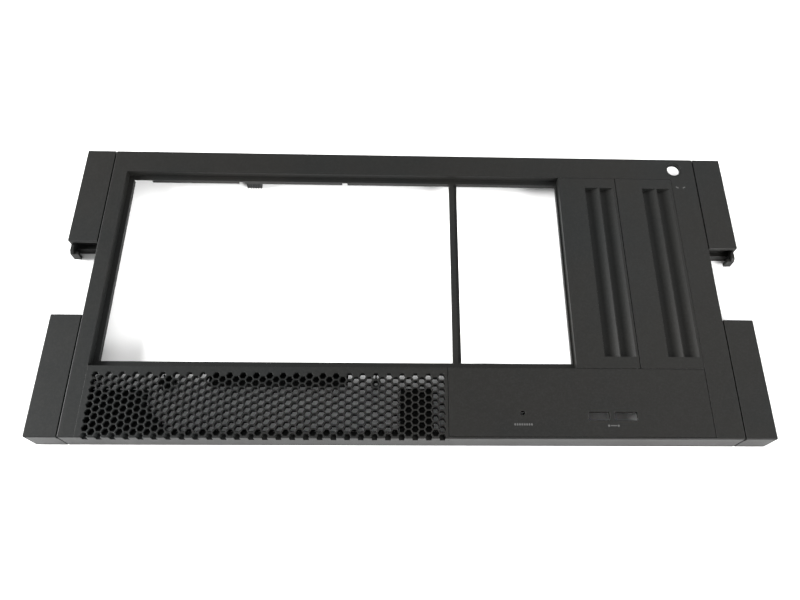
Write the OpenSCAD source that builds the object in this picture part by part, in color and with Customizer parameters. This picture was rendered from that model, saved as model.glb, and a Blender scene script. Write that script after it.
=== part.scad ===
// Front bezel of a rack server: a moulded frame with open drive bays, a hexagonal air grille,
// a port panel, two louvred bay blanks, four ear covers and a sliding release latch.
// It lies on its back: X runs along its width, Y towards its top edge and Z out of its front face.
// The origin is at the middle of the rear rim.

/* [Overall] */
// Width over the ear covers
face_w = 482.6; // [474:0.2:490]
// Height of the front face
face_h = 218; // [206:0.5:224]
// Depth from the front face to the rear rim
depth = 19.5; // [18:0.5:26]

/* [Main frame] */
// Thickness of the outer walls
wall = 2.3; // [1.6:0.1:2.8]
// Thickness of the front face and of the port panel
face_t = 2.5; // [2:0.1:3]
// Rounding of the front edges
edge_r = 0.8; // [0.4:0.1:1.2]
// Rounding of the corners of the front face
corner_r = 1.5; // [1:0.1:3]
// Width of the rail left of the bays
left_rail = 10.7; // [10:0.1:14]
// Width of the strip right of the bays
right_strip = 19; // [17:0.5:26]
// Height of the rail above the bays
top_rail = 18.3; // [17:0.1:24]
// Height of the band below the bays, which holds the grille and the port panel
bottom_band = 47.6; // [44:0.1:52]

/* [Drive bays] */
// Depth of the step down to the ledge round the bays
recess_d = 6; // [5.6:0.1:7]
// Thickness of that ledge
ledge_t = 3.8; // [2.6:0.1:4.4]
// Width of the ledge at the left
ledge_left = 4; // [3:0.1:6]
// Width of the ledge at the top
ledge_top = 3.4; // [3:0.1:6]
// Width of the ledge at the bottom
ledge_bottom = 5.1; // [3:0.1:7]
// Width of the ledge at the right
ledge_right = 3; // [2.6:0.1:5]
// Thickness of the wall round the step
surround_t = 1.6; // [1.2:0.1:2.4]
// Width of the open bay in the middle
second_bay_w = 77.8; // [60:0.2:90]
// Width of the bar between the two open bays
divider_w = 3.6; // [2.4:0.1:6]
// Width of the low flange along that bar
divider_flange = 2.3; // [1.5:0.1:4]
// Width of the post between the open bay and the blanks
post_w = 3.2; // [2.6:0.1:5]
// Width of the bar between the two blanks
mid_bar_w = 4; // [3.8:0.1:6]

/* [Bay blanks] */
// Width of one blanked bay, from groove to groove
blank_pitch = 43.6; // [42:0.1:46]
// Thickness of a blank's face and skirt
blank_t = 1.6; // [1.2:0.1:2]
// Width of one scoop
scoop_w = 10.6; // [8:0.1:11.5]
// Depth of a scoop at its steep side
scoop_d = 3.8; // [2.5:0.1:4]
// Flat crest between two scoops
scoop_crest = 0.5; // [0.3:0.1:2]
// Flat margin right of the scoops
scoop_margin = 1.6; // [1:0.1:3]
// Flat margin above and below the scoops
scoop_end = 8.3; // [7:0.1:14]
// Width of a snap arm
snap_w = 8; // [5:0.5:12]
// How far a snap arm's hook reaches under the ledge
snap_reach = 1.2; // [0.8:0.1:1.6]

/* [Air grille] */
// Depth of the grille's webs
grille_t = 5; // [3.5:0.1:6]
// Distance between neighbouring holes
hex_pitch = 5.03; // [4.8:0.01:7]
// Web between two holes
hex_web = 0.8; // [0.6:0.05:1.2]
// Plain margin left of the holes
grille_left = 3.4; // [3.2:0.1:8]
// Plain margin right of the holes
grille_right = 1.5; // [1.2:0.1:8]
// Plain margin above the holes
grille_top = 4; // [3.4:0.1:8]
// Height of the lowest hole's centre above the bottom edge
hex_first = 1.1; // [0.8:0.1:2]

/* [Port panel] */
// Width of the port panel; the grille takes the rest of the band
panel_w = 173.7; // [160:0.1:200]
// Height of the frame's edge strip under the port panel
panel_sill = 1.2; // [0.8:0.1:1.8]
// Width of the left port opening
port_w = 14; // [12:0.1:16]
// Width of the right port opening
port_2_w = 15.2; // [12:0.1:16]
// Height of the port openings
port_h = 5.6; // [5:0.1:8]
// Bar between the two port openings
port_gap = 3.2; // [2:0.1:6]
// Distance from the panel's right edge to the right port opening
port_right = 49.9; // [40:0.1:60]
// Height of the port openings' middle above the bottom edge
port_y = 15.2; // [12:0.1:20]
// Diameter of the reset pin hole
reset_d = 3; // [1.5:0.1:4]
// Distance from the panel's right edge to the reset pin hole
reset_right = 125.4; // [110:0.2:140]
// Height of the reset pin hole above the bottom edge
reset_y = 17; // [12:0.1:24]

/* [Lock hole] */
// Diameter of the lock hole
lock_d = 9.6; // [7:0.1:10.4]
// Width of the shallow dish round the lock hole
lock_dish_d = 12.4; // [11.6:0.1:13]
// Depth of that dish
lock_dish = 0.5; // [0.3:0.1:0.8]
// Distance of the lock hole's centre from the main frame's right edge
lock_x = 15.6; // [14.6:0.1:16.6]
// Distance of the lock hole's centre from the top edge
lock_y = 9.6; // [9:0.1:10.2]
// Width of the relief in the top wall behind the lock hole
lock_relief_w = 32; // [24:1:40]
// Height of the top wall that stays in front of that relief
lock_relief_lip = 1.2; // [0.6:0.1:2]

/* [Ear covers] */
// Width of an ear cover with its groove
ear_w = 21.3; // [18:0.1:26]
// Height of the lower ear covers
lower_ear_h = 84; // [76:0.5:90]
// Height of the upper ear covers
upper_ear_h = 78; // [70:0.5:90]
// Groove between an ear cover and the main frame
ear_groove = 0.6; // [0.4:0.1:1]
// Depth of the groove
ear_groove_d = 3.4; // [3:0.1:5]
// Height of the rear flange at an upper ear cover's lower end
ear_flange = 7.5; // [5:0.5:9]
// How far the end wall stands back from an upper ear cover's lower end
ear_inset = 3.5; // [2:0.1:6]
// Length of the hook below an upper ear cover
hook_l = 6; // [4:0.5:9]
// Height of that hook
hook_h = 12; // [8:0.5:14]
// Length of the hook's foot, turned in
hook_foot = 3; // [2:0.1:5]

/* [Ear screws] */
// Diameter of a screw's shank
screw_d = 2.9; // [2.2:0.1:3.2]
// Diameter of a screw's head
screw_head_d = 5.2; // [4.4:0.1:5.6]
// Thickness of a screw's head
screw_head_t = 1.6; // [1.2:0.1:2]
// Length of a screw's shank
screw_l = 9; // [6:0.5:10]
// Diameter of a screw boss
boss_d = 6; // [5.4:0.1:6.2]
// Thickness of an ear cover's screw tab
tab_t = 2.4; // [1.6:0.1:3]
// Width of an ear cover's screw tab
tab_w = 9; // [7:0.5:12]
// Distance of a screw from the main frame's side
screw_in = 5.7; // [5.4:0.1:6]
// Distance of a screw from its ear cover's end
screw_end = 15; // [11:0.5:20]

/* [Release latch] */
// How far the latch slides
latch_travel = 4; // [2:0.5:6]
// Distance of the thumb pad's middle from the bays' left edge
latch_x = 91.8; // [70:0.2:130]
// Length of the thumb pad
pad_l = 11.4; // [8:0.2:16]
// Number of ribs on the thumb pad
pad_ribs = 6; // [3:1:8]
// Height of those ribs
pad_rib_h = 0.6; // [0.3:0.1:1]
// Distance of the pad's ribs behind the ledge's edge
pad_back = 1.5; // [0.8:0.1:2.5]
// Thickness of the latch bar
latch_t = 2.6; // [2:0.1:3.2]
// Height of the latch bar
latch_h = 6; // [5:0.1:7]
// Length of the latch bar on each side of the thumb pad
latch_arm = 24; // [20:0.5:34]
// Length of a latch guide
guide_l = 6; // [4:0.5:8]

/* [Fits] */
// Gap round a bay blank, and between the grille and the port panel
seam = 0.5; // [0.3:0.05:0.8]
// Clearance of snap hooks, tabs and pins
fit = 0.3; // [0.2:0.05:0.4]
// Running clearance of the release latch
slide_fit = 0.25; // [0.15:0.05:0.35]

/* [Hidden] */
$fn = 48;

e = 0.01;                                // overshoot of a cut past a face
frame_colour = "#34353a";
panel_colour = "#303236";
blank_colour = "#2e3034";
ear_colour = "#36373b";
latch_colour = "#26272a";
screw_colour = "#8c8f93";

// heights
face_z = depth;
back_z = depth - face_t;                 // back of the front face, and seat of the port panel
grille_z = depth - grille_t;             // back of the grille, and its seat
ledge_z = depth - recess_d;              // top of the ledge round the bays
lip_z = ledge_z - ledge_t;               // underside of that ledge

// main frame and bays, from left to right and from bottom to top
body_w = face_w - 2 * ear_w;
bottom_y = -face_h / 2;
top_y = face_h / 2;
left_x = -body_w / 2;
right_x = body_w / 2;
recess_x0 = left_x + left_rail;
recess_x1 = right_x - right_strip;
recess_y0 = bottom_y + bottom_band;
recess_y1 = top_y - top_rail;
blanks_x = recess_x1 - 2 * blank_pitch;
bay_y0 = recess_y0 + ledge_bottom;
bay_y1 = recess_y1 - ledge_top;
post_x0 = blanks_x + blank_t + seam - post_w;
divider_x1 = post_x0 - second_bay_w;
divider_x0 = divider_x1 - divider_w;
panel_seam_x = recess_x1 - panel_w;
grille_w = panel_seam_x - recess_x0;

// behind the grille
grille_sill = 5.7;                       // height of the rim that carries the grille's lower edge
backing_z = 6.6;                         // underside of the two plates
backing_t = 1.8;
left_plate_x = 51;                       // the left plate's right side, from the bays' left edge
left_plate_step = 13;                    // how far its upper part stands back
left_plate_y = 34.6;                     // its height above the bottom edge
right_plate_x = 9.3;                     // the right plate's right side, from the seam
right_plate_w = 22.1;
right_plate_y = 36.3;
rail_x0 = 78;                            // the rail's left end, from the bays' left edge
rail_x1 = 66.6;                          // its right end, from the seam
rail_y = 36.5;                           // its height above the bottom edge
left_boss_x = 51.5;                      // the left boss, from the bays' left edge
right_boss_x = 47.8;                     // the right boss, from the seam
boss_row = 38.2;                         // height of the star-ribbed bosses above the bottom edge

// ear covers
tab_z = screw_head_t + 0.8;              // the screw heads stand clear of the rear rim
boss_z = tab_z + tab_t;

// release latch
pad_x = recess_x0 + latch_x;
pad_y = bay_y1 + pad_back;
latch_y = recess_y1 + surround_t + 2.2;  // latch bar's side nearer the bays
latch_z = 2.4;                           // underside of the latch bar
guide_wall = 1.4;
guide_lip = 0.8;

// a box from one corner to the opposite one
module block(from, to) {
    translate(from) cube(to - from);
}

// a slab lying on the rear rim, with its front edges and its upright corners rounded
module rounded_slab(x0, x1, y0, y1) {
    w = x1 - x0;
    h = y1 - y0;
    translate([x0, y0, 0]) intersection() {
        linear_extrude(depth) rounded_rect(w, h, corner_r);
        translate([0, h + e, 0]) rotate([90, 0, 0]) linear_extrude(h + 2 * e) crowned_rect(w);
        translate([-e, 0, 0]) rotate([90, 0, 90]) linear_extrude(w + 2 * e) crowned_rect(h);
    }
}

// a rectangle with all four corners round
module rounded_rect(w, h, r) {
    translate([r, 0]) square([w - 2 * r, h]);
    translate([0, r]) square([w, h - 2 * r]);
    for (x = [r, w - r], y = [r, h - r]) translate([x, y]) circle(r);
}

// a section of the slab: square at the rear rim, round at the front edges
module crowned_rect(w) {
    square([w, depth - edge_r]);
    translate([edge_r, 0]) square([w - 2 * edge_r, depth]);
    for (x = [edge_r, w - edge_r]) translate([x, depth - edge_r]) circle(edge_r);
}

// the outline of the main frame as a solid slab
module frame_slab() {
    rounded_slab(left_x, right_x, bottom_y, top_y);
}

module main_frame() color(frame_colour) {
    difference() {
        union() {
            difference() {
                frame_slab();
                block([left_x + wall, bottom_y + wall, -e], [right_x - wall, top_y - wall, back_z]);
            }
            bay_surround();
            panel_seats();
            grille_backing();
            ear_bosses();
        }
        // the step round the bays
        block([recess_x0, recess_y0, ledge_z], [recess_x1, recess_y1, face_z + e]);
        bay_windows();
        // the pockets of the grille and the port panel
        block([recess_x0, bottom_y - e, grille_z], [panel_seam_x, recess_y0 + e, face_z + e]);
        block([panel_seam_x - e, bottom_y + panel_sill, back_z], [recess_x1, recess_y0 + e, face_z + e]);
        ledge_notches();
        lock_cuts();
        ear_tab_notches();
        ear_pilot_holes();
    }
    latch_guides();
}

// the block behind the face that carries the step and its ledge
module bay_surround() {
    block([recess_x0 - surround_t, recess_y0 - surround_t, lip_z],
          [recess_x1 + surround_t, recess_y1 + surround_t, back_z + e]);
}

// the open bays and the windows behind the blanks
module bay_windows() {
    bay([recess_x0 + ledge_left, divider_x0]);
    difference() {
        bay([divider_x1, post_x0]);
        block([divider_x1 - e, bay_y0 - 1, lip_z - e],
              [divider_x1 + divider_flange, bay_y1 + 1, lip_z + ledge_t / 2]);
    }
    bay([post_x0 + post_w, blanks_x + blank_pitch - mid_bar_w / 2]);
    bay([blanks_x + blank_pitch + mid_bar_w / 2, recess_x1 - ledge_right]);
}

module bay(span) {
    block([span[0], bay_y0, lip_z - 1], [span[1], bay_y1, face_z + 1]);
}

// rims under the grille and the port panel, and the mullion under the seam between them
module panel_seats() {
    rim = 3;
    y0 = bottom_y + wall / 2;
    y1 = recess_y0 - surround_t / 2;
    block([recess_x0 - rim / 2, y0, grille_z - face_t], [recess_x0 + rim, y1, back_z + e]);
    block([recess_x1 - rim, y0, back_z - face_t], [recess_x1 + rim / 2, y1, back_z + e]);
    block([panel_seam_x - grille_right, y0, grille_z - face_t], [panel_seam_x + rim, y1, back_z]);
    block([recess_x0, y0, grille_z - face_t], [panel_seam_x, bottom_y + grille_sill, grille_z]);
}

// two plates, a rail and two star-ribbed bosses behind the grille
module grille_backing() {
    low_y = wall / 2;
    high_y = bottom_band - surround_t / 2;
    side = left_rail - wall / 2;
    upper_x = left_plate_x - left_plate_step;
    step_y = left_plate_y / 3;
    translate([recess_x0, bottom_y, backing_z]) linear_extrude(backing_t)
        polygon([[-side, low_y], [left_plate_x, low_y], [left_plate_x, step_y],
                 [(left_plate_x + upper_x) / 2, 1.5 * step_y], [upper_x, 2.2 * step_y],
                 [upper_x, left_plate_y], [-side, left_plate_y]]);
    translate([panel_seam_x - right_plate_x - right_plate_w, bottom_y + low_y, backing_z])
        cube([right_plate_w, right_plate_y - low_y, backing_t]);
    translate([recess_x0 + rail_x0, bottom_y + rail_y, lip_z])
        cube([grille_w - rail_x0 - rail_x1, high_y - rail_y, backing_t]);
    for (x = [recess_x0 + left_boss_x, panel_seam_x - right_boss_x])
        translate([x, bottom_y + boss_row, lip_z]) star_boss(high_y - boss_row);
}

// a boss with ribs round it, tied to the wall above it
module star_boss(reach) {
    rib = 1;
    difference() {
        union() {
            cylinder(h = ledge_t, d = boss_d + 1);
            for (a = [0:60:120]) rotate(a) translate([-boss_d, -rib / 2, 0]) cube([2 * boss_d, rib, ledge_t]);
            translate([-rib / 2, 0, 0]) cube([rib, reach, ledge_t]);
        }
        translate([0, 0, -e]) cylinder(h = ledge_t + 2 * e, d = screw_d);
    }
}

// the places of the ear screws: [x, y] of each
function ear_screw_places() = [
    for (side = [-1, 1], y = [bottom_y + screw_end, bottom_y + lower_ear_h - screw_end,
                              top_y - upper_ear_h + screw_end, top_y - screw_end])
        [side * (body_w / 2 - screw_in), y]
];

module ear_bosses() {
    for (p = ear_screw_places()) translate([p[0], p[1], boss_z]) cylinder(h = back_z - boss_z + e, d = boss_d);
}

module ear_pilot_holes() {
    for (p = ear_screw_places()) translate([p[0], p[1], boss_z - e]) cylinder(h = screw_l - tab_t + 1, d = screw_d);
}

// notches in the side walls, open at the rear rim, that pass the ear covers' tabs
module ear_tab_notches() {
    for (p = ear_screw_places())
        translate([sign(p[0]) * (body_w / 2 - wall / 2), p[1], boss_z / 2 - e])
            cube([wall + 1, tab_w + 2 * fit, boss_z + fit], center = true);
}

// the reliefs in the ledge above the largest bay
module ledge_notches() {
    notch_t = ledge_t - 1;
    for (span = [[recess_x0 - e, recess_x0 + ledge_left + 13],
                 [pad_x - pad_l / 2 - latch_travel - 0.4, pad_x - pad_l / 2],
                 [pad_x + pad_l / 2 + 62, pad_x + pad_l / 2 + 66]])
        block([span[0], bay_y1 - e, lip_z - e], [span[1], recess_y1 + surround_t + e, lip_z + notch_t]);
}

module lock_cuts() {
    translate([right_x - lock_x, top_y - lock_y, back_z - 1]) cylinder(h = face_t + 2, d = lock_d);
    translate([right_x - lock_x, top_y - lock_y, face_z - lock_dish]) cylinder(h = 1, d = lock_dish_d);
    relief_x = right_x - lock_x;
    block([relief_x - lock_relief_w / 2, top_y - wall - e, -e],
          [min(relief_x + lock_relief_w / 2, right_x - wall), top_y + e, back_z - lock_relief_lip]);
}

// two channels behind the top rail that hold the latch bar and let it slide
module latch_guides() {
    for (x = [pad_x - latch_arm + latch_travel, pad_x + latch_arm - guide_l - latch_travel])
        translate([x, 0, 0]) rotate([90, 0, 90]) linear_extrude(guide_l) guide_section();
}

module guide_section() {
    slot_y0 = latch_y - slide_fit;
    slot_y1 = latch_y + latch_t + slide_fit;
    slot_z = latch_z - slide_fit;
    difference() {
        translate([slot_y0 - guide_wall, slot_z - guide_lip])
            square([slot_y1 - slot_y0 + 2 * guide_wall, back_z - slot_z + guide_lip + e]);
        translate([slot_y0, slot_z]) square([slot_y1 - slot_y0, latch_h + 2 * slide_fit]);
        translate([slot_y0 + guide_lip, slot_z - guide_lip - e])
            square([slot_y1 - slot_y0 - 2 * guide_lip, guide_lip + 2 * e]);
    }
}

module hex_grille() color(panel_colour) difference() {
    intersection() {
        block([recess_x0, bottom_y, grille_z], [panel_seam_x - seam / 2, recess_y0, face_z]);
        translate([recess_x0 - 1, bottom_y, 0]) rotate([90, 0, 90])
            linear_extrude(grille_w + 2) crowned_rect(face_h);
    }
    grille_holes();
}

// staggered columns of hexagonal holes; the lowest of every other column breaks the bottom edge
module grille_holes() {
    hole_r = (hex_pitch - hex_web) / sqrt(3);
    column = hex_pitch * sqrt(3) / 2;
    first_x = recess_x0 + grille_left + hole_r;
    columns = floor((grille_w - grille_left - grille_right - 2 * hole_r) / column);
    highest = bottom_band - grille_top - (hex_pitch - hex_web) / 2;
    for (i = [0:columns], y = [hex_first + (i % 2) * hex_pitch / 2:hex_pitch:highest])
        translate([first_x + i * column, bottom_y + y, grille_z - 1]) cylinder(h = grille_t + 2, r = hole_r, $fn = 6);
}

module port_panel() color(panel_colour) {
    x0 = panel_seam_x + seam / 2;
    x1 = recess_x1 - seam;
    y0 = bottom_y + panel_sill + seam / 2;
    difference() {
        block([x0, y0, back_z], [x1, recess_y0, face_z]);
        port_opening(recess_x1 - port_right - port_2_w, port_2_w);
        port_opening(recess_x1 - port_right - port_2_w - port_gap - port_w, port_w);
        translate([recess_x1 - reset_right, bottom_y + reset_y, back_z - 1]) cylinder(h = face_t + 2, d = reset_d);
    }
}

module port_opening(x, w) {
    translate([x, bottom_y + port_y - port_h / 2, back_z - 1])
        linear_extrude(face_t + 2) rounded_rect(w, port_h, 0.6);
}

module bay_blank_left() color(blank_colour) bay_blank(blanks_x);

module bay_blank_right() color(blank_colour) bay_blank(blanks_x + blank_pitch);

// a tray that stands on the ledge, with two long scoops in its face and a snap arm at each end
module bay_blank(x) {
    x0 = x + seam / 2;
    x1 = x + blank_pitch - seam / 2;
    y0 = recess_y0 + seam / 2;
    y1 = recess_y1 - seam / 2;
    scoops = [x1 - scoop_margin - 2 * scoop_w - scoop_crest, x1 - scoop_margin - scoop_w];
    difference() {
        union() {
            difference() {
                block([x0, y0, ledge_z], [x1, y1, face_z]);
                block([x0 + blank_t, y0 + blank_t, ledge_z - e], [x1 - blank_t, y1 - blank_t, face_z - blank_t]);
            }
            for (s = scoops) scoop(s, y0, y1, blank_t);
        }
        for (s = scoops) scoop(s, y0, y1, 0);
    }
    snap_x = max(x0 + blank_t + 2, x0 + 4);
    for (end = [0, 1])
        translate([snap_x, end == 0 ? bay_y0 : bay_y1, 0]) mirror([0, end, 0]) snap_arm();
}

// one scoop: steep at its left, its floor an arc that climbs to the crest at its right
module scoop(x, y0, y1, skin) {
    arc_r = (scoop_w * scoop_w + scoop_d * scoop_d) / (2 * scoop_d);
    floor_z = face_z - scoop_d - skin;
    start_y = y0 + scoop_end - skin;
    end_y = y1 - scoop_end + skin;
    intersection() {
        block([x - skin, start_y, floor_z], [x + scoop_w, end_y, skin > 0 ? face_z - e : face_z + 1]);
        translate([x, start_y - 1, face_z - scoop_d + arc_r]) rotate([-90, 0, 0])
            cylinder(h = end_y - start_y + 2, r = arc_r + skin, $fn = 96);
    }
}

// an arm that drops through the bay window and hooks under the ledge at y = 0
module snap_arm() {
    arm_t = blank_t;
    hook_z = lip_z - fit;
    translate([0, fit, 0]) block([0, 0, hook_z - 3], [snap_w, arm_t, face_z - blank_t + e]);
    translate([snap_w, fit, hook_z]) rotate([90, 0, -90]) linear_extrude(snap_w)
        polygon([[0, 0], [snap_reach + fit, 0], [snap_reach + fit, -0.8], [0, -3]]);
}

module upper_left_ear() color(ear_colour) upper_ear();

module upper_right_ear() color(ear_colour) mirror([1, 0, 0]) upper_ear();

module lower_left_ear() color(ear_colour) lower_ear();

module lower_right_ear() color(ear_colour) mirror([1, 0, 0]) lower_ear();

// a lidless box with a groove along the main frame's side
module ear_shell(y0, y1) {
    x0 = -face_w / 2;
    difference() {
        rounded_slab(x0, left_x + 2 * corner_r + wall, y0, y1);
        block([left_x, y0 - 1, -1], [0, y1 + 1, face_z + 1]);
        block([left_x - ear_groove, y0 - 1, face_z - ear_groove_d], [left_x + 1, y1 + 1, face_z + 1]);
        block([x0 + wall, y0 + wall, -e], [left_x - ear_groove - wall, y1 - wall, back_z]);
    }
}

// the tabs that pass the main frame's side wall and take the screws
module ear_tabs(places) {
    for (y = places) translate([left_x + screw_in, y, tab_z]) difference() {
        union() {
            translate([-screw_in - wall / 2, -tab_w / 2, 0]) cube([screw_in + wall / 2, tab_w, tab_t]);
            cylinder(h = tab_t, d = boss_d);
        }
        translate([0, 0, -e]) cylinder(h = tab_t + 2 * e, d = screw_d + fit);
    }
}

module upper_ear() {
    y0 = top_y - upper_ear_h;
    x0 = -face_w / 2;
    difference() {
        ear_shell(y0, top_y);
        // the end wall is cut back between the face and the rear flange, and closed again further up
        block([x0 + wall, y0 - 1, ear_flange], [left_x + 1, y0 + wall + e, back_z]);
    }
    block([x0 + wall / 2, y0 + ear_inset, ear_flange - wall], [left_x - ear_groove, y0 + ear_inset + wall, back_z + e]);
    block([x0 + wall / 2, y0 + wall / 2, ear_flange - wall], [left_x, y0 + ear_inset + wall, ear_flange]);
    ear_hook(x0, y0);
    ear_tabs([y0 + screw_end, top_y - screw_end]);
}

// the hook that hangs from the outer wall, with a chamfered end and a foot turned in
module ear_hook(x0, y0) {
    low = 0.5;
    chamfer = 2;
    translate([x0, y0, 0]) rotate([90, 0, 90]) linear_extrude(wall)
        polygon([[wall, low], [wall, low + hook_h], [chamfer - hook_l, low + hook_h],
                 [-hook_l, low + hook_h - chamfer], [-hook_l, low + chamfer], [chamfer - hook_l, low]]);
    block([x0 + wall - e, y0 - hook_l, low + chamfer], [x0 + wall + hook_foot, y0 - hook_l + wall, low + hook_h - chamfer]);
}

module lower_ear() {
    ear_shell(bottom_y, bottom_y + lower_ear_h);
    ear_tabs([bottom_y + screw_end, bottom_y + lower_ear_h - screw_end]);
}

module ear_screws() color(screw_colour) {
    for (p = ear_screw_places()) translate([p[0], p[1], tab_z]) difference() {
        union() {
            cylinder(h = screw_l, d = screw_d);
            translate([0, 0, -screw_head_t]) cylinder(h = screw_head_t, d = screw_head_d);
        }
        translate([0, 0, -screw_head_t - e]) cross_recess();
    }
}

module cross_recess() {
    slot = 0.8;
    reach = screw_head_d * 0.6;
    for (a = [0, 90]) rotate(a) translate([-reach / 2, -slot / 2, 0]) cube([reach, slot, screw_head_t / 2]);
}

// a bar in two guides, with a ribbed thumb pad reaching below the bays' upper ledge
module release_latch() color(latch_colour) {
    pad_top = lip_z - 1.6;
    bar_y1 = latch_y + latch_t;
    block([pad_x - latch_arm - latch_travel, latch_y, latch_z],
          [pad_x + latch_arm + latch_travel, bar_y1, latch_z + latch_h]);
    block([pad_x - pad_l / 2, pad_y + pad_rib_h, 1], [pad_x + pad_l / 2, latch_y + e, pad_top]);
    rib_pitch = pad_l / pad_ribs;
    for (i = [0:pad_ribs - 1])
        translate([pad_x - pad_l / 2 + (i + 0.25) * rib_pitch, pad_y, 1])
            cube([rib_pitch / 2, pad_rib_h + e, pad_top - 1]);
}

main_frame();
hex_grille();
port_panel();
bay_blank_left();
bay_blank_right();
upper_left_ear();
lower_left_ear();
upper_right_ear();
lower_right_ear();
ear_screws();
release_latch();
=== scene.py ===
import math

import bmesh
import bpy
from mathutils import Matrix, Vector


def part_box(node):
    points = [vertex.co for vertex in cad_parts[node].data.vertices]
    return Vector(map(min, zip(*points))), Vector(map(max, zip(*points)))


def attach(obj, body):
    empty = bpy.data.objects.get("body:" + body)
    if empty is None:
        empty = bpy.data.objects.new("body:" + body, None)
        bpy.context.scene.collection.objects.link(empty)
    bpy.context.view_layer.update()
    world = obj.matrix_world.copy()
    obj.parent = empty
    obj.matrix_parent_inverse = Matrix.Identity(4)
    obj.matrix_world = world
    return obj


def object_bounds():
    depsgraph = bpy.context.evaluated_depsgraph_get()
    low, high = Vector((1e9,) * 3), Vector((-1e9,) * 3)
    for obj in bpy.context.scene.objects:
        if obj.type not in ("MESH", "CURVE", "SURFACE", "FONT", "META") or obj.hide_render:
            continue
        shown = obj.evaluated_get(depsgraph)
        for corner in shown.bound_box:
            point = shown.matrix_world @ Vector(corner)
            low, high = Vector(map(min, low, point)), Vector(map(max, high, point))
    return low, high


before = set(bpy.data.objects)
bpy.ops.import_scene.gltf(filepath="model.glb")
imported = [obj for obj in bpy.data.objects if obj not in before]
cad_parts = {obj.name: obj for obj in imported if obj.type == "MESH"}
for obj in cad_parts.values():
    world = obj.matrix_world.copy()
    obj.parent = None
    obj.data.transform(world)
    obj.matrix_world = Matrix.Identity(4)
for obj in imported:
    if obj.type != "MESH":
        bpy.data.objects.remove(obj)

# The bezel lies on its back on a pale floor: X along its width, Y to its top edge and Z out of
# its face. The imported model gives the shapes; this script gives finishes, marks, light and view.
MM = 0.001
CAD_LOW, CAD_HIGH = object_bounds()
FRAME_LOW, FRAME_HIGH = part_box("main_frame")
PANEL_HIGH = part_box("port_panel")[1]

# printed marks
INK_THICKNESS = 0.04 * MM
DASH_ROUNDING = 0.3                   # corner radius of a dash, as a share of its height
PANEL_SEAM = 0.5 * MM                 # between the port panel and the frame right of it
RESET_FROM_RIGHT = 125.4 * MM         # reset hole, from the bays' right edge
PORTS_FROM_RIGHT = 66.5 * MM          # middle of the two ports, from the bays' right edge

# grain and edges of the moulded plastic
FACE_GRAIN = 0.045 * MM
SMOOTH_GRAIN = 0.035 * MM
LATCH_GRAIN = 0.02 * MM
PLASTIC_EDGE = 0.35 * MM
PLASTIC_SPECULAR = 0.16

# light and view, in metres and watts
DOME_STRENGTH = 0.68
LIGHT_SIZE = 1.0
LIGHTS = {
    "left_light": ((-2.04, 0.0, 0.82), 176),
    "front_right_light": ((1.44, -1.44, 0.82), 106),
    "right_light": ((2.04, 0.0, 0.82), 18),
    "back_right_light": ((0.96, 0.96, 1.73), 10),
}
FLOOR_HALF_WIDTH = 4
FLOOR_GAP = 0.02 * MM
EYE = (-0.00617, -0.22570, 0.49547)
EYE_TURN = (26.29, -2.012, -0.304)    # degrees

# finishes, as linear colours
CHARCOAL_WARM = (0.0063, 0.0061, 0.0054, 1)
CHARCOAL_COOL = (0.0049, 0.0056, 0.0055, 1)
CHARCOAL_WORN = (0.0135, 0.0135, 0.0130, 1)
DUST = (0.045, 0.044, 0.041, 1)
ZINC = (0.56, 0.57, 0.58, 1)
ZINC_DULL = (0.36, 0.37, 0.38, 1)
INK_GREY = (0.045, 0.045, 0.044, 1)
FLOOR_WHITE = (0.93, 0.93, 0.925, 1)


class Value:
    """A number that varies over a surface. An expression on it adds Math nodes."""

    def __init__(self, finish, socket):
        self.finish = finish
        self.socket = socket

    def math(self, operation, *others):
        return self.finish.node("Math", {"operation": operation}, [self, *others])

    def __add__(self, other):
        return self.math("ADD", other)

    __radd__ = __add__

    def __mul__(self, other):
        return self.math("MULTIPLY", other)

    __rmul__ = __mul__

    def __sub__(self, other):
        return self.math("SUBTRACT", other)

    def __rsub__(self, other):
        return self.finish.node("Math", {"operation": "SUBTRACT"}, [other, self])


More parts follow.
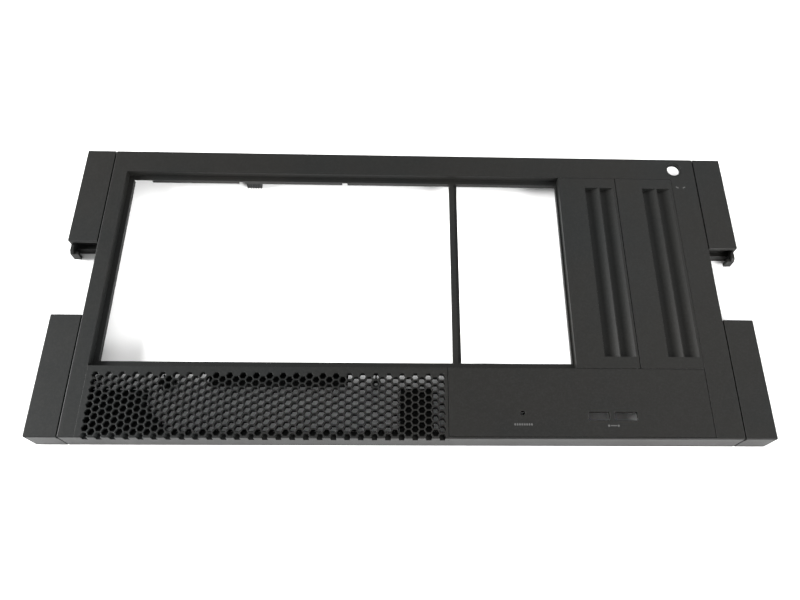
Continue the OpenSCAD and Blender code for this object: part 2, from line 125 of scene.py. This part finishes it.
class Finish:
    """One material, or the world: a node tree, and one method that adds a node to it."""

    def __init__(self, owner):
        owner.use_nodes = True
        self.owner = owner
        self.tree = owner.node_tree

    def node(self, kind, settings, inputs, output=0):
        """Adds a node, gives it its settings, then its inputs, and returns one output."""
        made = self.tree.nodes.new("ShaderNode" + kind)
        for name, value in settings.items():
            if name == "stops":
                self.set_stops(made.color_ramp, value)
            else:
                setattr(made, name, value)
        if not isinstance(inputs, dict):
            inputs = dict(enumerate(inputs))
        for key, value in inputs.items():
            self.feed(made.inputs[key], value)
        return Value(self, made.outputs[output])

    def feed(self, socket, value):
        if isinstance(value, Value):
            self.tree.links.new(value.socket, socket)
        else:
            socket.default_value = value

    def set_stops(self, ramp, stops):
        while len(ramp.elements) < len(stops):
            ramp.elements.new(1)
        for element, (place, colour) in zip(ramp.elements, stops):
            element.position = place
            element.color = colour

    def place(self, stretch=(1, 1, 1), turn=0):
        """The place on the piece in metres, stretched and turned about Z."""
        here = self.node("TexCoord", {}, {}, "Object")
        inputs = {"Vector": here, "Scale": stretch, "Rotation": (0, 0, turn)}
        return self.node("Mapping", {}, inputs)

    def noise(self, scale, detail=3, rough=0.55, stretch=(1, 1, 1), turn=0):
        inputs = {"Vector": self.place(stretch, turn), "Scale": scale}
        inputs.update({"Detail": detail, "Roughness": rough})
        return self.node("TexNoise", {}, inputs)

    def cells(self, scale):
        return self.node("TexVoronoi", {}, {"Vector": self.place(), "Scale": scale}, "Distance")

    def between(self, value, low, high):
        """0 below low, 1 above high, and smooth from one to the other."""
        return self.node("MapRange", {"interpolation_type": "SMOOTHSTEP"}, [value, low, high, 0, 1])

    def blend(self, share, first, second):
        settings = {"data_type": "RGBA"}
        return self.node("Mix", settings, {"Factor": share, 6: first, 7: second}, 2)

    def edge(self, radius):
        """The normal with the edges rounded, and a mask of where that turns it."""
        soft = self.node("Bevel", {"samples": 4}, {"Radius": radius})
        sharp = self.node("NewGeometry", {}, {}, "Normal")
        agreement = self.node("VectorMath", {"operation": "DOT_PRODUCT"}, [soft, sharp], "Value")
        return soft, self.between(1 - agreement, 0.01, 0.16)

    def bump(self, height, distance, normal):
        inputs = {"Height": height, "Distance": distance, "Normal": normal, "Strength": 1.0}
        return self.node("Bump", {}, inputs)


def new_finish(name, **constants):
    """A material whose shader has these constants set on its own sockets."""
    finish = Finish(bpy.data.materials.new(name))
    shader = finish.tree.nodes["Principled BSDF"]
    for key, value in constants.items():
        shader.inputs[key.replace("_", " ")].default_value = value
    finish.shader = shader
    return finish


def moulded_plastic(name, warm, cool, rough, grain, streak_turn=0.0):
    """Charcoal plastic with a moulded grain, cloudy colour, polished edges, scuffs and dust."""
    finish = new_finish(name, IOR=1.5, Specular_IOR_Level=PLASTIC_SPECULAR)
    soft, edge = finish.edge(PLASTIC_EDGE)
    clouds = finish.noise(7, detail=2)
    patches = finish.noise(38, detail=4, rough=0.6)
    grain_fine = finish.noise(2600, detail=2)
    grain_coarse = finish.noise(900, detail=3, rough=0.65)
    scuffs = finish.noise(60, detail=6, rough=0.7, stretch=(1, 9, 1), turn=streak_turn)
    specks = finish.cells(260)
    lint = finish.noise(120, detail=2)

    colour = finish.blend(finish.between(clouds * 0.7 + patches * 0.3, 0.38, 0.62), cool, warm)
    colour = finish.blend(finish.between(grain_coarse, 0.40, 0.72) * 0.40, colour, CHARCOAL_WORN)
    worn = edge * finish.between(patches, 0.35, 0.65) * 0.45
    colour = finish.blend(worn, colour, CHARCOAL_WORN)
    scuffed = finish.between(scuffs, 0.66, 0.80)
    colour = finish.blend(scuffed * 0.25, colour, CHARCOAL_WORN)
    dust = (1 - finish.between(specks, 0.02, 0.09)) * finish.between(lint, 0.60, 0.66)
    colour = finish.blend(dust * 0.35, colour, DUST)
    finish.feed(finish.shader.inputs["Base Color"], colour)

    sheen = rough + (patches - 0.5) * 0.12 + (grain_coarse - 0.5) * 0.10
    sheen = sheen - edge * 0.10 - scuffed * 0.08 + dust * 0.2
    finish.feed(finish.shader.inputs["Roughness"], sheen)

    height = grain_fine * 0.5 + grain_coarse
    finish.feed(finish.shader.inputs["Normal"], finish.bump(height, grain, soft))
    return finish.owner


def zinc_plate(name):
    """Zinc plating with a fine drawn grain and duller patches."""
    finish = new_finish(name, Metallic=1.0)
    soft, edge = finish.edge(0.15 * MM)
    drawn = finish.noise(1500, detail=4, stretch=(1, 1, 0.1))
    patches = finish.noise(420, detail=4)
    colour = finish.blend(finish.between(patches, 0.4, 0.6), ZINC_DULL, ZINC)
    finish.feed(finish.shader.inputs["Base Color"], colour)
    finish.feed(finish.shader.inputs["Roughness"], 0.30 + drawn * 0.22 - edge * 0.1)
    finish.feed(finish.shader.inputs["Normal"], finish.bump(drawn, 0.01 * MM, soft))
    return finish.owner


def printed_ink(name):
    """Screen printing that is a little thin and uneven."""
    finish = new_finish(name, Roughness=0.6)
    thin = finish.noise(2200, detail=3)
    colour = finish.blend(finish.between(thin, 0.50, 0.75), INK_GREY, CHARCOAL_WORN)
    finish.feed(finish.shader.inputs["Base Color"], colour)
    return finish.owner


def floor_paint(name):
    """A matt white floor that is clear from below, so that the underside can be looked at."""
    finish = new_finish(name, Base_Color=FLOOR_WHITE, Roughness=0.9, Specular_IOR_Level=0.1)
    from_below = finish.node("NewGeometry", {}, {}, "Backfacing")
    clear = finish.node("BsdfTransparent", {}, {})
    painted = Value(finish, finish.shader.outputs[0])
    seen = finish.node("MixShader", {}, [from_below, painted, clear])
    finish.feed(finish.tree.nodes["Material Output"].inputs["Surface"], seen)
    return finish.owner


def new_piece(name, mesh, material):
    """Finishes a bmesh as a piece that rides on the bezel."""
    data = bpy.data.meshes.new(name)
    mesh.to_mesh(data)
    mesh.free()
    piece = bpy.data.objects.new(name, data)
    bpy.context.scene.collection.objects.link(piece)
    data.materials.append(material)
    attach(piece, "bezel")
    return piece


def add_dash(mesh, centre, length, height, turn=0.0):
    """A printed dash with round corners, lying on the face."""
    made = bmesh.ops.create_cube(mesh, size=1)["verts"]
    bmesh.ops.scale(mesh, vec=(length, height, INK_THICKNESS), verts=made)
    upright = [e for e in {e for v in made for e in v.link_edges}
               if abs(e.verts[0].co.z - e.verts[1].co.z) > INK_THICKNESS / 2]
    rounded = bmesh.ops.bevel(mesh, geom=upright, offset=height * DASH_ROUNDING,
                              offset_type="OFFSET", affect="EDGES", segments=3, profile=0.5,
                              material=-1)
    made = list({v for f in rounded["faces"] for v in f.verts} | {v for v in made if v.is_valid})
    turned = math.cos(turn), math.sin(turn)
    for v in made:
        x, y = v.co.x, v.co.y
        v.co.x = x * turned[0] - y * turned[1]
        v.co.y = x * turned[1] + y * turned[0]
    bmesh.ops.translate(mesh, vec=centre, verts=made)


def on_face(x, y):
    """A point on the front face, with half the ink's thickness above it."""
    return Vector((x, y, FRAME_HIGH.z + INK_THICKNESS / 2))


def reset_mark(ink):
    """A row of short upright dashes under the reset hole."""
    mesh = bmesh.new()
    middle = PANEL_HIGH.x + PANEL_SEAM - RESET_FROM_RIGHT
    row_y = FRAME_LOW.y + 9.4 * MM
    count = 8
    for i in range(count):
        x = middle + (i - (count - 1) / 2) * 1.55 * MM
        add_dash(mesh, on_face(x, row_y), 1.0 * MM, 1.5 * MM)
    new_piece("reset_mark", mesh, ink)


def port_mark(ink):
    """Two dots and a dash under the ports."""
    mesh = bmesh.new()
    middle = PANEL_HIGH.x + PANEL_SEAM - PORTS_FROM_RIGHT
    row_y = FRAME_LOW.y + 8.8 * MM
    add_dash(mesh, on_face(middle, row_y), 4.0 * MM, 0.6 * MM)
    for side in (-1, 1):
        add_dash(mesh, on_face(middle + side * 3.1 * MM, row_y), 1.3 * MM, 1.3 * MM)
    new_piece("port_mark", mesh, ink)


def lock_mark(ink):
    """Two small dashes below the lock hole, for its two positions."""
    mesh = bmesh.new()
    middle = FRAME_HIGH.x - 12.6 * MM
    row_y = FRAME_HIGH.y - 25.5 * MM
    for side in (-1, 1):
        add_dash(mesh, on_face(middle + side * 2.6 * MM, row_y), 2.2 * MM, 0.8 * MM, side * 0.5)
    new_piece("lock_mark", mesh, ink)


def studio():
    """A weak even dome and large soft lights that stand low, so that they graze the face."""
    world = bpy.data.worlds.new("studio")
    bpy.context.scene.world = world
    world.use_nodes = True
    background = world.node_tree.nodes["Background"]
    background.inputs["Color"].default_value = (1, 1, 1, 1)
    background.inputs["Strength"].default_value = DOME_STRENGTH
    for name, (place, power) in LIGHTS.items():
        soft_light(name, place, power)


def soft_light(name, place, power):
    """A square light that faces the bezel."""
    data = bpy.data.lights.new(name, "AREA")
    data.size = LIGHT_SIZE
    data.energy = power
    lamp = bpy.data.objects.new(name, data)
    bpy.context.scene.collection.objects.link(lamp)
    lamp.location = place
    lamp.rotation_euler = (-Vector(place)).to_track_quat("-Z", "Y").to_euler()


def floor():
    """A flat floor just under the rear rim."""
    mesh = bmesh.new()
    bmesh.ops.create_grid(mesh, x_segments=1, y_segments=1, size=FLOOR_HALF_WIDTH)
    bmesh.ops.translate(mesh, vec=(0, 0, CAD_LOW.z - FLOOR_GAP), verts=mesh.verts)
    data = bpy.data.meshes.new("floor")
    mesh.to_mesh(data)
    mesh.free()
    ground = bpy.data.objects.new("floor", data)
    bpy.context.scene.collection.objects.link(ground)
    data.materials.append(floor_paint("floor_paint"))


def camera():
    """Looks down on the bezel from in front of its bottom edge."""
    data = bpy.data.cameras.new("camera")
    data.sensor_width = 36
    data.lens = 33.77
    data.shift_x = -0.030
    data.shift_y = -0.035
    data.clip_start = 0.01
    data.clip_end = 20
    eye = bpy.data.objects.new("camera", data)
    bpy.context.scene.collection.objects.link(eye)
    eye.location = EYE
    eye.rotation_euler = tuple(math.radians(angle) for angle in EYE_TURN)
    bpy.context.scene.camera = eye


def dress(node, material):
    """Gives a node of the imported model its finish."""
    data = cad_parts[node].data
    data.materials.clear()
    data.materials.append(material)


camera()
studio()
floor()

WARM_COOL = (CHARCOAL_WARM, CHARCOAL_COOL)
frame_plastic = moulded_plastic("frame_plastic", *WARM_COOL, 0.50, FACE_GRAIN)
ear_plastic = moulded_plastic("ear_plastic", *WARM_COOL, 0.52, FACE_GRAIN, 0.2)
panel_plastic = moulded_plastic("panel_plastic", *WARM_COOL, 0.52, FACE_GRAIN, 1.57)
blank_plastic = moulded_plastic("blank_plastic", *WARM_COOL, 0.46, SMOOTH_GRAIN)
latch_plastic = moulded_plastic("latch_plastic", CHARCOAL_COOL, CHARCOAL_COOL, 0.45, LATCH_GRAIN)
screw_steel = zinc_plate("screw_steel")
ink = printed_ink("printed_ink")

dress("main_frame", frame_plastic)
for side in ("left", "right"):
    dress(f"upper_{side}_ear", ear_plastic)
    dress(f"lower_{side}_ear", ear_plastic)
    dress(f"bay_blank_{side}", blank_plastic)
dress("hex_grille", panel_plastic)
dress("port_panel", panel_plastic)
dress("release_latch", latch_plastic)
dress("ear_screws", screw_steel)

reset_mark(ink)
port_mark(ink)
lock_mark(ink)

bpy.context.scene.view_settings.view_transform = "Standard"
